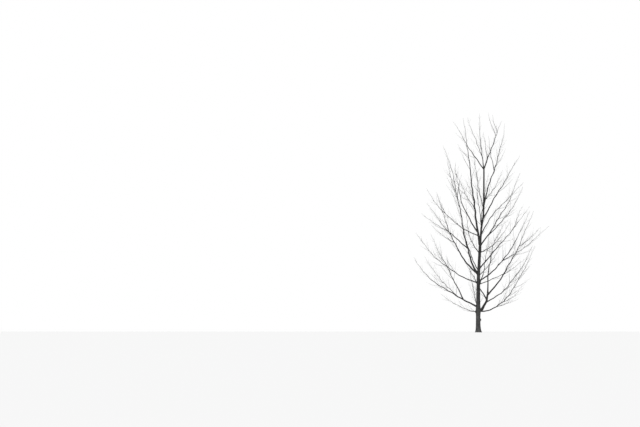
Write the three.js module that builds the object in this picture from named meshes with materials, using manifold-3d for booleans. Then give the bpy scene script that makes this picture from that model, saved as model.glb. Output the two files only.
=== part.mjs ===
// A young shade tree in winter, 10 m tall, bare of leaves: one leaning trunk with a root flare, boughs that
// sweep up from it on all sides, and the twigs that stand on them. Millimetres, +Z up, +Y away from the
// viewer. The origin is at the middle of the flat cut under the trunk, at ground level.
import * as THREE from "three";
import { mergeVertices } from "three/addons/utils/BufferGeometryUtils.js";
import Module from "manifold-3d";

const wasm = await Module();
wasm.setup();

// Trunk: its diameter at some heights, up to the top fork, where the last three limbs part
const TRUNK_DIAMETERS = [
  [0, 236],
  [260, 212],
  [800, 206],
  [960, 242],
  [1220, 196],
  [1500, 180],
  [2100, 162],
  [2600, 152],
  [3050, 136],
  [3880, 128],
  [4200, 100],
  [4600, 90],
  [5300, 80],
  [5900, 73],
  [7000, 70],
  [7480, 64],
];
const TRUNK_TOP = 7480;
const TRUNK_SIDES = 10;
const TRUNK_STEPS = 26;
const TRUNK_SPACING = 1.5;

// How far the trunk's middle line stands towards +X at some heights
const TRUNK_LEAN = [
  [0, 0],
  [900, 0],
  [2500, 14],
  [3900, 88],
  [4750, 150],
  [5250, 238],
  [5700, 262],
  [7480, 272],
];

// Root flare: how far it stands out at the ground, how fast it fades upwards, and its lobes over the roots
const FLARE_SHARE = 0.38;
const FLARE_FADE = 120;
const FLARE_LOBES = 5;
const LOBE_SHARE = 0.4;

// Crown: its widest radius and where that is, the height where its lower edge closes in, and its top
const CROWN_RADIUS = 3150;
const CROWN_WIDEST = 4200;
const CROWN_FOOT = 650;
const CROWN_TOP = 10050;
const CROWN_FALL = 1.1;
const CROWN_ROUNDNESS = 0.55;

// Limbs. Each leaves its parent at a height, rises at one slope and arrives at its tip at another. The
// bearing is counted from +X towards +Y, and reach is the tip's distance from the upright through the origin.
// The columns are the parent, the height it leaves at, the bearing of the tip, the slope it leaves at, the
// reach, the height of the tip, the slope it arrives at, the thickness at the root, the share that is a bare
// bough, the swing of the path sideways, and how far the leaving slope holds. A limb with no bare share is a
// mass of twigs from its root on, and a fork belongs to its parent's mass.
const LIMBS = {
  right_root: ["trunk", 990, -13, 0, 450, 1760, 84, 125, 1],
  right_main: ["right_root", 1690, -15, 46, 2600, 5500, 67, 73, 0.2],
  left_low: ["trunk", 1140, 180, 29, 2910, 3400, 66, 76, 0.36, 0, 0.28],
  right_back_low: ["trunk", 980, 32, -9, 3080, 3950, 61, 60, 0.2],
  left_pole: ["trunk", 2620, -176, 50, 1580, 8480, 66, 92, 0.3, 0, 0.2],
  left_front_high: ["trunk", 2620, -140, 30, 2420, 6300, 70, 79, 0.3],
  second_leader: ["trunk", 3930, 130, 76, 1060, 9790, 76, 108, 0.25, 0, 0.3],
  right_back_mid: ["trunk", 2320, 29, 25, 2700, 5570, 65, 65, 0.24],
  right_front_mid: ["trunk", 2860, -31, 46, 2700, 5660, 52, 60, 0.28],
  right_fork: ["trunk", 3920, 22, 52, 2050, 7270, 73, 65, 0.22],
  left_wide: ["trunk", 2240, -165, 16, 2900, 4500, 58, 56, 0.28],
  left_back_rise: ["left_low", 1500, 135, 53, 3100, 4530, 53, 55, 0.25],
  left_back_mid: ["left_pole", 3810, 157, 33, 2550, 5910, 52, 56, 0.25],
  right_front_rise: ["right_root", 1730, -60, 70, 2400, 4930, 44, 65, 0.3, -19, 0.42],
  right_front_low: ["right_root", 1370, -36, 18, 3020, 3870, 60, 54, 0.25],
  leader_back_left: ["second_leader", 4550, 124, 44, 1850, 7800, 84, 65, 0.25, 12],
  left_upper: ["second_leader", 4390, 172, 20, 2370, 6540, 60, 46, 0.25],
  right_upper: ["trunk", 4400, 2, 68, 2080, 6800, 46, 52, 0.25],
  right_high: ["trunk", 5150, -8, 60, 1920, 8000, 58, 64, 0.25],
  right_top: ["trunk", 5770, 15, 78, 1250, 9500, 87, 65, 0.3],
  back_mid: ["trunk", 2760, 105, 26, 2900, 5200, 58, 51, 0.28],
  front_low: ["trunk", 1950, -80, 24, 2800, 4300, 55, 51, 0.28],
  left_front_low: ["left_low", 1620, -143, 29, 3000, 3390, 48, 33, 0],
  left_skirt: ["trunk", 940, -145, 2, 2060, 1740, 34, 33, 0],
  front_left_mid: ["trunk", 3600, -101, 20, 2700, 5360, 42, 48, 0, -12],
  front_cross: ["right_root", 1480, -107, 42, 1900, 3200, 50, 62, 0],
  right_inner: ["trunk", 2180, 5, 16, 2200, 3390, 41, 40, 0],
  back_right_inner: ["trunk", 2560, 67, 19, 2650, 4000, 40, 39, 0],
  back_right_mid: ["trunk", 3620, 58, 11, 2800, 5150, 49, 45, 0],
  right_fork_front: ["right_fork", 4400, -28, 34, 2300, 6570, 64, 46, 0],
  front_right_high: ["trunk", 5950, -56, 25, 2020, 7300, 48, 31, 0],
  back_centre: ["trunk", 4250, 75, 54, 1910, 7300, 64, 45, 0, 12],
  back_low: ["trunk", 1130, 100, 20, 2550, 3400, 52, 41, 0],
  front_high: ["trunk", 4780, -92, 40, 2150, 7200, 66, 39, 0],
  back_high: ["trunk", 5560, 98, 50, 1600, 8400, 70, 37, 0],
  top_right: ["trunk", 7430, 5, 68, 1090, 9600, 66, 59, 0],
  top_centre: ["trunk", 7440, 79, 72, 310, 9950, 86, 50, 0],
  top_left: ["trunk", 7400, 170, 52, 1130, 9580, 58, 50, 0],
  right_main_fork: ["right_main", 3890, -20, 27, 3000, 4740, 46, 26, "fork"],
  right_back_fork: ["right_back_mid", 3250, 5, 26, 3260, 4850, 42, 31, "fork"],
  right_front_fork: ["right_front_mid", 4680, -22, 62, 2210, 5750, 58, 24, "fork"],
  right_low_fork: ["right_back_low", 1370, 28, 20, 2380, 2040, 36, 21, "fork"],
  right_skirt: ["right_back_low", 1220, 40, 2, 2400, 1550, 26, 19, "fork"],
  left_pole_fork: ["left_pole", 6010, 160, 58, 1500, 7900, 76, 27, "fork"],
  left_front_fork: ["left_front_high", 4050, -150, 22, 2410, 4840, 50, 23, "fork"],
  left_back_fork: ["left_back_mid", 4660, 168, 22, 2610, 5410, 44, 24, "fork"],
  left_upper_fork: ["left_upper", 5420, 165, 62, 1920, 6300, 70, 18, "fork"],
  leader_front_left: ["second_leader", 5620, -122, 32, 2000, 7390, 51, 31, "fork"],
  right_top_fork: ["right_top", 7320, 55, 76, 850, 8950, 88, 36, "fork"],
  top_right_fork: ["top_right", 8900, 35, 74, 600, 10000, 86, 25, "fork"],
  top_front_fork: ["top_right", 7900, -65, 66, 560, 9050, 76, 27, "fork"],
  top_left_fork: ["top_centre", 7980, -142, 66, 570, 9750, 76, 29, "fork"],
  top_right_curl: ["top_right", 9050, 8, 80, 690, 9880, 88, 20, "fork"],
};

// Boughs and stems: the taper's power, the thickness of a tip and of a limb that ends in a fork, the swelling
// at a root, and the facets
const TAPER = 1.1;
const TIP_DIAMETER = 7;
const FORK_DIAMETER = 84;
const COLLAR_SHARE = 0.35;
const COLLAR_LENGTHS = 1.3;
const HOLD = 0.34;
const BOUGH_SIDES = 6;
const BOUGH_STEP = 420;
const STEM_SIDES = 4;
const THIN_STEM_SIDES = 3;
const THIN_STEM = 40;
const STEM_STEP = 480;
const LEAST_STEPS = 3;

// Twigs: pairs of shoots along a stem, each pair turned a right angle from the last. The lift is how far a
// shoot bends up to the light. A spread is the range that a seeded draw picks from.
const SEED = 4207;
const FIRST_NODE = 150;
const NODE_GAP = 490;
const LAST_NODE = 170;
const SHOOT_CHANCE = 0.9;
const SHOOT_SHARE = 0.42;
const SHOOT_LEAST = 90;
const SHOOT_MOST = 1150;
const SHOOT_ANGLE = 34;
const SHOOT_LIFT = 0.7;
const TWIG_FROM = 620;
const TWIG_NODES = [0.32, 0.58];
const TWIG_SHARE = 0.55;
const TWIG_ANGLE = 34;
const TWIG_LIFT = 0.5;

const ANGLE_SPREAD = [0.8, 1.2];
const LENGTH_SPREAD = [0.7, 1.2];
const GAP_SPREAD = [0.8, 1.2];
const TURN_SPREAD = [-0.5, 0.5];

// Thickness of a shoot at its root: a least value, what each millimetre of its length adds, and the most it
// may be as a share of the stem's radius
const SHOOT_THICKNESS = 7;
const ROOT_SHARE = 0.95;
const SHOOT_THICKENING = 0.008;
const TWIG_SHRINK = 0.5;
const SHOOT_SIDES = 3;
const LONG_SHOOT_STEPS = 2;
const SHORT_SHOOT_STEPS = 1;

// Gaps: between touching solids, and between a twig and what it passes
const SEAT_GAP = 0.3;
const PASSING_GAP = 12;
const WELD = 0.001;
const CLEAN = 0.05;
const SAME_HEIGHT = 1e-5;

// Where along a twig its room is measured, and the straight stretches of the limbs that it is measured to
const ROOM_SHARES = [0.25, 0.5, 0.75, 1];
const STRETCH = 150;

const UP = new THREE.Vector3(0, 0, 1);
const radians = THREE.MathUtils.degToRad;

// What a seeded draw is for: its key tells it from the other draws of the same node
const DRAW = { turn: 1, angle: 2, length: 3, kept: 4, gap: 5 };

// A number from 0 to 1 that depends only on the keys, so each twig keeps its shape whatever else is skipped
function chance(...keys) {
  let mix = SEED;
  for (const key of keys) {
    mix = Math.imul(mix ^ (key + 0x9e3779b9), 0x85ebca6b);
    mix ^= mix >>> 13;
    mix = Math.imul(mix, 0xc2b2ae35);
    mix ^= mix >>> 16;
  }
  return (mix >>> 0) / 2 ** 32;
}

function between([low, high], ...keys) {
  return low + (high - low) * chance(...keys);
}

// A value at a height, straight between the rows of a table
function atHeight(table, z) {
  const above = Math.max(1, table.findIndex(([height]) => height >= z));
  const [highZ, high] = table[above];
  const [lowZ, low] = table[above - 1];
  return THREE.MathUtils.mapLinear(z, lowZ, highZ, low, high);
}

// Trunk: its middle line, which leans a little, and its radius
class TrunkLine extends THREE.Curve {
  getPoint(share, target = new THREE.Vector3()) {
    const z = share * TRUNK_TOP;
    return target.set(atHeight(TRUNK_LEAN, z), 0, z);
  }
}

function trunkRadius(share, angle) {
  const z = share * TRUNK_TOP;
  const lobes = 1 + LOBE_SHARE * Math.cos(FLARE_LOBES * angle);
  return (atHeight(TRUNK_DIAMETERS, z) / 2) * (1 + FLARE_SHARE * lobes * Math.exp(-z / FLARE_FADE));
}

// A round, tapering piece of a limb: a cylinder bent along the limb's line and given its radius ring by ring
function limbPiece(limb, from, to, sides, steps, grow = 0) {
  const cylinder = new THREE.CylinderGeometry(limb.pointed ? 0 : 1, 1, 1, sides, steps);
  const corners = cylinder.getAttribute("position");
  for (let i = 0; i < corners.count; i += 1) {
    const along = corners.getY(i) + 0.5;
    const share = from + (to - from) * along ** (limb.spacing ?? 1);
    const forward = limb.line.getTangent(share);
    const across = limb.across.clone().addScaledVector(forward, -limb.across.dot(forward)).normalize();
    const over = across.clone().cross(forward);
    const out = Math.hypot(corners.getX(i), corners.getZ(i));
    const angle = Math.atan2(corners.getZ(i), corners.getX(i));
    const radius = out > WELD ? limb.radius(share, angle) + grow : 0;
    const place = limb.line.getPoint(share).addScaledVector(forward, grow * (2 * along - 1));
    place.addScaledVector(across, radius * Math.cos(angle)).addScaledVector(over, radius * Math.sin(angle));
    corners.setXYZ(i, place.x, place.y, place.z);
  }
  return solidOf(cylinder);
}

function solidOf(geometry) {
  const bare = new THREE.BufferGeometry();
  bare.setAttribute("position", geometry.getAttribute("position"));
  bare.setIndex(geometry.getIndex());
  const merged = mergeVertices(bare, WELD);
  return new wasm.Manifold(
    new wasm.Mesh({
      numProp: 3,
      vertProperties: merged.getAttribute("position").array,
      triVerts: new Uint32Array(merged.getIndex().array),
    }),
  );
}

// The largest body of a solid, without the scraps that a cut leaves loose
function largest(solid) {
  const bodies = solid.simplify(CLEAN).decompose();
  return bodies.reduce((a, b) => (b.volume() > a.volume() ? b : a));
}

// The share of a limb's length at which it reaches a height, past any dip near its root
function shareAtHeight(limb, height) {
  let low = 0;
  let high = 1;
  while (high - low > SAME_HEIGHT) {
    const middle = (low + high) / 2;
    if (limb.line.getPoint(middle).z < height) {
      low = middle;
    } else {
      high = middle;
    }
  }
  return high;
}

// A limb's line: one cubic curve from its parent's middle line to its tip
function limbLine(start, bearing, leave, reach, top, arrive, swing, hold) {
  const heading = radians(bearing);
  const tip = new THREE.Vector3(reach * Math.cos(heading), reach * Math.sin(heading), top);
  const chord = tip.clone().sub(start);
  const course = Math.atan2(chord.y, chord.x);
  const leaving = direction(course + radians(swing), radians(leave));
  const arriving = direction(course - radians(swing), radians(arrive));
  const second = start.clone().addScaledVector(leaving, hold * chord.length());
  const third = tip.clone().addScaledVector(arriving, -HOLD * chord.length());
  return new THREE.CubicBezierCurve3(start, second, third, tip);
}

function direction(course, slope) {
  const flat = Math.cos(slope);
  return new THREE.Vector3(flat * Math.cos(course), flat * Math.sin(course), Math.sin(slope));
}

// All limbs by name, with the trunk first. The number is a limb's key in the seeded rule.
const trunk = {
  name: "trunk",
  line: new TrunkLine(),
  radius: trunkRadius,
  across: new THREE.Vector3(1, 0, 0),
  spacing: TRUNK_SPACING,
  bare: 1,
};
const limbs = { trunk };
for (const [name, row] of Object.entries(LIMBS)) {
  const [from, height, bearing, leave, reach, top, arrive, thickness, kind, swing = 0, hold = HOLD] = row;
  const parent = limbs[from];
  const start = parent.line.getPoint(shareAtHeight(parent, height));
  const line = limbLine(start, bearing, leave, reach, top, arrive, swing, hold);
  const length = line.getLength();
  const heading = line.getPoint(1).sub(start);
  const end = kind === 1 ? FORK_DIAMETER : TIP_DIAMETER;
  limbs[name] = {
    name,
    parent,
    line,
    length,
    thickness,
    number: Object.keys(limbs).length,
    bare: kind === "fork" ? 0 : kind,
    mass: kind === "fork" ? parent.mass : name,
    fork: kind === "fork",
    across: new THREE.Vector3(-heading.y, heading.x, 0).normalize(),
    radius: (share) => {
      const taper = end + (thickness - end) * (1 - share) ** TAPER;
      const collar = Math.exp((-share * length) / (COLLAR_LENGTHS * thickness));
      return (taper + (kind === "fork" ? 0 : COLLAR_SHARE * thickness * collar)) / 2;
    },
  };
}
const grownLimbs = Object.values(limbs).filter((limb) => limb.parent);

// What a twig keeps clear of: short straight stretches of every limb, each with its radius and its mass
const stretches = [];
for (const limb of Object.values(limbs)) {
  const count = Math.ceil(limb.line.getLength() / STRETCH);
  for (let i = 0; i < count; i += 1) {
    const from = i / count;
    const to = (i + 1) / count;
    stretches.push({
      line: new THREE.Line3(limb.line.getPoint(from), limb.line.getPoint(to)),
      radius: limb.radius(from, 0),
      mass: from >= limb.bare ? limb.mass : null,
    });
  }
}

function crownRadius(height) {
  if (height < CROWN_WIDEST) {
    const share = (CROWN_WIDEST - height) / (CROWN_WIDEST - CROWN_FOOT);
    return CROWN_RADIUS * Math.sqrt(Math.max(0, 1 - share ** 2));
  }
  const share = (height - CROWN_WIDEST) / (CROWN_TOP - CROWN_WIDEST);
  return CROWN_RADIUS * Math.max(0, 1 - share ** CROWN_FALL) ** CROWN_ROUNDNESS;
}

// A shoot stays in the crown and in its own mass's space, where every point is nearer to that mass's stems
// than to any other's
function hasRoom(shoot, mass) {
  const near = new THREE.Vector3();
  for (const share of ROOM_SHARES) {
    const point = shoot.line.getPoint(share);
    const radius = shoot.radius(share);
    if (Math.hypot(point.x, point.y) > crownRadius(point.z)) {
      return false;
    }
    let own = Infinity;
    let other = Infinity;
    for (const stretch of stretches) {
      const away = stretch.line.closestPointToPoint(point, true, near).distanceTo(point);
      if (stretch.mass === mass) {
        own = Math.min(own, away);
      } else if (away < stretch.radius + radius + PASSING_GAP) {
        return false;
      } else if (stretch.mass) {
        other = Math.min(other, away);
      }
    }
    if (other < own + 2 * radius + PASSING_GAP) {
      return false;
    }
  }
  return true;
}

// A shoot's line turns evenly from the direction it leaves in to the one it ends in
class ShootLine extends THREE.Curve {
  constructor(start, leaving, ending, length) {
    super();
    Object.assign(this, { start, leaving, ending, length });
  }

  getPoint(share, target = new THREE.Vector3()) {
    const turned = (share ** 2 / 2) * this.length;
    return target
      .copy(this.start)
      .addScaledVector(this.leaving, share * this.length - turned)
      .addScaledVector(this.ending, turned);
  }
}

function makeShoot(start, forward, turn, angle, lift, length, thickness) {
  const level = forward.clone().cross(UP).normalize();
  const rising = level.clone().cross(forward);
  const outward = level.clone().multiplyScalar(Math.cos(turn)).addScaledVector(rising, Math.sin(turn));
  const leaving = forward.clone().multiplyScalar(Math.cos(angle)).addScaledVector(outward, Math.sin(angle));
  const ending = leaving.clone().addScaledVector(UP, lift).normalize();
  const line = new ShootLine(start, leaving, ending, length);
  const radius = (share) => (thickness / 2) * (1 - share);
  return { line, radius, length, pointed: true, across: outward.clone().cross(forward).normalize() };
}

// The shoots of one stem: pairs at its nodes, and single twigs by turns on the longer shoots
function shootsOf(limb) {
  const found = [];
  let place = limb.bare * limb.length + FIRST_NODE;
  for (let node = 0; place < limb.length - LAST_NODE; node += 1) {
    const share = place / limb.length;
    const start = limb.line.getPoint(share);
    const forward = limb.line.getTangent(share);
    for (const side of [0, 1]) {
      const keys = [limb.number, node, side];
      const turn = Math.PI * side + (Math.PI / 2) * node + between(TURN_SPREAD, ...keys, DRAW.turn);
      const angle = radians(SHOOT_ANGLE * between(ANGLE_SPREAD, ...keys, DRAW.angle));
      const room = SHOOT_LEAST + SHOOT_SHARE * (limb.length - place);
      const length = Math.min(SHOOT_MOST, room * between(LENGTH_SPREAD, ...keys, DRAW.length));
      const grown = SHOOT_THICKNESS + SHOOT_THICKENING * length;
      const thickness = Math.min(grown, ROOT_SHARE * limb.radius(share));
      const shoot = makeShoot(start, forward, turn, angle, SHOOT_LIFT, length, thickness);
      if (chance(...keys, DRAW.kept) > SHOOT_CHANCE || !hasRoom(shoot, limb.mass)) {
        continue;
      }
      found.push({ ...shoot, steps: length > TWIG_FROM ? LONG_SHOOT_STEPS : SHORT_SHOOT_STEPS });
      if (length > TWIG_FROM) {
        found.push(...twigsOf(shoot, limb.mass, keys, thickness));
      }
    }
    place += NODE_GAP * between(GAP_SPREAD, limb.number, node, DRAW.gap);
  }
  return found;
}

function twigsOf(shoot, mass, keys, thickness) {
  const found = [];
  TWIG_NODES.forEach((share, node) => {
    const start = shoot.line.getPoint(share);
    const forward = shoot.line.getTangent(share);
    const own = [...keys, node];
    const turn = Math.PI * node + between(TURN_SPREAD, ...own, DRAW.turn);
    const length = TWIG_SHARE * shoot.length * (1 - share) * between(LENGTH_SPREAD, ...own, DRAW.length);
    const thinner = thickness * (1 - share) * TWIG_SHRINK;
    const twig = makeShoot(start, forward, turn, radians(TWIG_ANGLE), TWIG_LIFT, length, thinner);
    if (hasRoom(twig, mass)) {
      found.push({ ...twig, steps: SHORT_SHOOT_STEPS });
    }
  });
  return found;
}

const bark = new THREE.MeshStandardMaterial({ color: 0x3b3937, roughness: 0.9, metalness: 0 });
const youngBark = new THREE.MeshStandardMaterial({ color: 0x47423e, roughness: 0.8, metalness: 0 });
const tree = new THREE.Group();

function addNode(name, solid, material) {
  const { vertProperties, triVerts } = largest(solid).getMesh();
  const geometry = new THREE.BufferGeometry();
  geometry.setAttribute("position", new THREE.BufferAttribute(vertProperties, 3));
  geometry.setIndex(new THREE.BufferAttribute(triVerts, 1));
  const mesh = new THREE.Mesh(geometry, material);
  mesh.name = name;
  tree.add(mesh);
}

// The trunk comes first, and each limb is cut clear of what stands before it
const standing = [];
function cutClear(solid, limb, from, to, sides, steps) {
  const cut = standing.reduce((rest, other) => rest.subtract(other), solid);
  standing.push(limbPiece(limb, from, to, sides, steps, SEAT_GAP));
  return cut;
}

const wholeTrunk = limbPiece(trunk, 0, 1, TRUNK_SIDES, TRUNK_STEPS);
addNode("trunk", cutClear(wholeTrunk, trunk, 0, 1, TRUNK_SIDES, TRUNK_STEPS), bark);

for (const limb of grownLimbs.filter(({ bare }) => bare > 0)) {
  const steps = Math.max(LEAST_STEPS, Math.round((limb.bare * limb.length) / BOUGH_STEP));
  const whole = limbPiece(limb, 0, limb.bare, BOUGH_SIDES, steps);
  addNode("bough_" + limb.name, cutClear(whole, limb, 0, limb.bare, BOUGH_SIDES, steps), bark);
}

const stems = {};
for (const limb of grownLimbs.filter(({ bare }) => bare < 1)) {
  const from = limb.bare > 0 ? limb.bare + SEAT_GAP / limb.length : 0;
  const steps = Math.max(LEAST_STEPS, Math.round(((1 - from) * limb.length) / STEM_STEP));
  const sides = limb.thickness > THIN_STEM ? STEM_SIDES : THIN_STEM_SIDES;
  const whole = limbPiece(limb, from, 1, sides, steps);
  stems[limb.mass] = limb.fork
    ? stems[limb.mass].add(whole)
    : largest(cutClear(whole, limb, from, 1, sides, steps));
}

for (const [mass, stem] of Object.entries(stems)) {
  const shoots = grownLimbs.filter((limb) => limb.mass === mass && limb.bare < 1).flatMap(shootsOf);
  const pieces = shoots.map((shoot) => limbPiece(shoot, 0, 1, SHOOT_SIDES, shoot.steps));
  addNode("twigs_" + mass, pieces.reduce((whole, piece) => whole.add(piece), stem), youngBark);
}

export default tree;
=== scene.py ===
"""A young shade tree in bare winter state: a leaning trunk with a root flare, boughs that sweep up from it on
all sides, and shoots, twigs and buds on them. Metres, +Z up, +X to the right, +Y away from the viewer."""

import math

import bpy
import numpy as np
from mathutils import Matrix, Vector


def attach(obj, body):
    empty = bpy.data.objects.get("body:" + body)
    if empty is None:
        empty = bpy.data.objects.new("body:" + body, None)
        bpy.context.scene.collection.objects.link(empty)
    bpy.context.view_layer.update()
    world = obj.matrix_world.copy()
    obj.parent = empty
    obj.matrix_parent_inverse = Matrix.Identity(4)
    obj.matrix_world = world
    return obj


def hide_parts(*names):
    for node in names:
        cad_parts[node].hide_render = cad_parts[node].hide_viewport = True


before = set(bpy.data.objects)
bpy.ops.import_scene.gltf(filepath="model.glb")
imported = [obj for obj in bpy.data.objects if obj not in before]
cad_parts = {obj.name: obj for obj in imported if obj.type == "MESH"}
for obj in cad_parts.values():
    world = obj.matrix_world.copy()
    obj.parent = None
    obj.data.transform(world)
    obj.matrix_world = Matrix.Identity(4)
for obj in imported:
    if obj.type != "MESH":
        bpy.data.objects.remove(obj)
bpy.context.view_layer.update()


# The trunk
# One stem of green wood, 0.2 m thick, that leans a little at mid height and ends where the top limbs part.
# Its thin dark bark has shallow furrows that fade upwards. It spreads over the roots in a flare with five
# lobes, and is cut flat at the ground. A burr and two old knots swell it where limbs were lost.
TRUNK_DIAMETERS = [
    (0, 0.236), (0.26, 0.212), (0.80, 0.206), (0.96, 0.242), (1.22, 0.196), (1.50, 0.180), (2.10, 0.162),
    (2.60, 0.152), (3.05, 0.136), (3.88, 0.128), (4.20, 0.100), (4.60, 0.090), (5.30, 0.080), (5.90, 0.073),
    (7.00, 0.070), (7.48, 0.064),
]
TRUNK_LEAN = [
    (0, 0), (0.90, 0), (2.50, 0.014), (3.90, 0.088), (4.75, 0.150), (5.25, 0.238), (5.70, 0.262),
    (7.48, 0.272),
]
TRUNK_TOP = 7.48
TOP_ROUNDING = 0.02
TOP_RINGS = 5
DOME_SIZE = 1.0001
FLARE_SHARE = 0.38
FLARE_FADE = 0.12
FLARE_LOBES = 5
LOBE_SHARE = 0.4
TRUNK_RING_GAP = 0.013
TRUNK_SIDES = 120
SMOOTHING_RINGS = 11
FURROW_WIDTH = 0.03
FURROW_LENGTH = 0.16
FURROW_DEPTH = 0.008
FURROW_FADE = 2.6
FURROW_EDGE = 0.065
SWELL_SHARE = 0.10
SWELL_LENGTH = 0.45
KNOBS = [  # height, bearing in degrees, how far it stands out, how wide it is
    (0.57, 0, 0.040, 0.090),
    (0.94, 180, 0.036, 0.085),
    (2.02, -40, 0.012, 0.060),
]
FURROW_DETAIL = 3.0
SWELL_DETAIL = 1.0
PLATE_GREY = 0.061
FURROW_GREY = 0.014
PATCH_GREY = 0.075
GRAIN_SIZE = 0.02
GRAIN_DETAIL = 4.0
GRAIN_SHARE = 0.35
GREY_ENDS = (0.12, 0.92)
PATCH_SCALE = 3.2
PATCH_DETAIL = 5.0
PATCH_ROUGHNESS = 0.62
PATCH_ENDS = (0.56, 0.72)
PATCH_SHARE = 0.55
YOUNG_SHADE = 0.3
BARK_SHINE = 0.1
BARK_ROUGHNESS = (0.78, 0.95)
ROUGHNESS_ENDS = (0.3, 0.7)
BUMP_STRENGTH = 0.5
BUMP_HEIGHT = 0.002


def wire(tree, kind, feeds, **settings):
    """A new node with its settings, whose sockets are fed by sockets or plain values; gives its output."""
    node = tree.nodes.new(kind)
    for setting, value in settings.items():
        setattr(node, setting, value)
    for socket, feed in feeds.items():
        if isinstance(feed, bpy.types.NodeSocket):
            tree.links.new(feed, node.inputs[socket])
        else:
            node.inputs[socket].default_value = feed
    return next(output for output in node.outputs if output.enabled)


def new_tree(name, sizes):
    """A geometry node tree with a geometry in and out, a material and the named sizes as its inputs."""
    tree = bpy.data.node_groups.new(name, "GeometryNodeTree")
    face = tree.interface
    face.new_socket("Geometry", in_out="INPUT", socket_type="NodeSocketGeometry")
    face.new_socket("Material", in_out="INPUT", socket_type="NodeSocketMaterial")
    for label, kind in sizes.items():
        face.new_socket(label, in_out="INPUT", socket_type="NodeSocket" + kind)
    face.new_socket("Geometry", in_out="OUTPUT", socket_type="NodeSocketGeometry")
    return tree, tree.nodes.new("NodeGroupInput").outputs


def end_tree(tree, shape, material):
    """The tree's last nodes: real meshes, smooth shading and the material."""
    real = wire(tree, "GeometryNodeRealizeInstances", {0: shape})
    smooth = wire(tree, "GeometryNodeSetShadeSmooth", {"Geometry": real, "Shade Smooth": True})
    painted = wire(tree, "GeometryNodeSetMaterial", {"Geometry": smooth, "Material": material})
    tree.links.new(painted, tree.nodes.new("NodeGroupOutput").inputs[0])


def attribute(tree, name, kind="FLOAT"):
    return wire(tree, "GeometryNodeInputNamedAttribute", {"Name": name}, data_type=kind)


def sweep(tree, lines, sides):
    """Round wood along lines of points that carry their radius."""
    curve = wire(tree, "GeometryNodeMeshToCurve", {"Mesh": lines})
    ring = wire(tree, "GeometryNodeCurvePrimitiveCircle", {"Resolution": sides, "Radius": 1.0})
    return wire(tree, "GeometryNodeCurveToMesh", {
        "Curve": curve, "Profile Curve": ring, "Scale": attribute(tree, "girth"), "Fill Caps": True,
    })


def maths(tree, operation, *feeds):
    return wire(tree, "ShaderNodeMath", dict(enumerate(feeds)), operation=operation)


def vectors(tree, operation, feeds):
    return wire(tree, "ShaderNodeVectorMath", feeds, operation=operation)


def bark_tree(name, knobs):
    """Wood with the bark's relief: lobes over the roots, broad swells, knobs, and furrows along the grain."""
    tree, given = new_tree(name, {
        "Sides": "Int", "Furrow width": "Float", "Furrow length": "Float", "Furrow depth": "Float",
        "Swell share": "Float", "Swell length": "Float", "Flare lobes": "Float", "Lobe share": "Float",
    })
    wood = sweep(tree, given["Geometry"], given["Sides"])
    place = wire(tree, "GeometryNodeInputPosition", {})
    spoke = vectors(tree, "SUBTRACT", {0: place, 1: attribute(tree, "middle", "FLOAT_VECTOR")})
    outward = vectors(tree, "NORMALIZE", {0: spoke})
    radius = attribute(tree, "girth")
    along = attribute(tree, "along")

    def grain(width, length, detail):
        """A pattern on the bark whose patches are this wide and this long."""
        around = vectors(tree, "SCALE", {0: outward, "Scale": maths(tree, "DIVIDE", radius, width)})
        return wire(tree, "ShaderNodeTexNoise", {
            "Vector": around, "W": maths(tree, "DIVIDE", along, length), "Scale": 1.0, "Detail": detail,
        }, noise_dimensions="4D")

    furrow_noise = grain(given["Furrow width"], given["Furrow length"], FURROW_DETAIL)
    ridged = maths(tree, "ABSOLUTE", maths(tree, "SUBTRACT", furrow_noise, 0.5))
    plate = wire(tree, "ShaderNodeMapRange", {
        "Value": ridged, "From Min": 0.0, "From Max": FURROW_EDGE, "To Min": 0.0, "To Max": 1.0,
    }, interpolation_type="SMOOTHSTEP")
    depth = maths(tree, "MULTIPLY", given["Furrow depth"], attribute(tree, "roughness"))
    furrows = maths(tree, "MULTIPLY", maths(tree, "SUBTRACT", plate, 1.0), depth)
    swell_noise = grain(given["Swell length"], given["Swell length"], SWELL_DETAIL)
    swell = maths(tree, "SUBTRACT", swell_noise, 0.5)
    swells = maths(tree, "MULTIPLY", maths(tree, "MULTIPLY", swell, given["Swell share"]), radius)

    flat = wire(tree, "ShaderNodeSeparateXYZ", {0: outward}).node.outputs
    bearing = maths(tree, "ARCTAN2", flat["Y"], flat["X"])
    lobe = maths(tree, "COSINE", maths(tree, "MULTIPLY", bearing, given["Flare lobes"]))
    spread = maths(tree, "MULTIPLY_ADD", lobe, given["Lobe share"], 1.0)
    flare = maths(tree, "MULTIPLY", spread, attribute(tree, "flare"))
    height = maths(tree, "ADD", maths(tree, "ADD", furrows, swells), flare)
    for centre, proud, wide in knobs:
        away = vectors(tree, "DISTANCE", {0: place, 1: centre}).node.outputs["Value"]
        knob = wire(tree, "ShaderNodeMapRange", {
            "Value": away, "From Min": 0.0, "From Max": wide, "To Min": proud, "To Max": 0.0,
        }, interpolation_type="SMOOTHSTEP")
        height = maths(tree, "ADD", height, knob)
    shaped = wire(tree, "GeometryNodeSetPosition", {
        "Geometry": wood, "Offset": vectors(tree, "SCALE", {0: outward, "Scale": height}),
    })
    marked = wire(tree, "GeometryNodeStoreNamedAttribute", {
        "Geometry": shaped, "Name": "plate", "Value": plate,
    }, data_type="FLOAT", domain="POINT")
    end_tree(tree, marked, given["Material"])
    return tree


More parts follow.
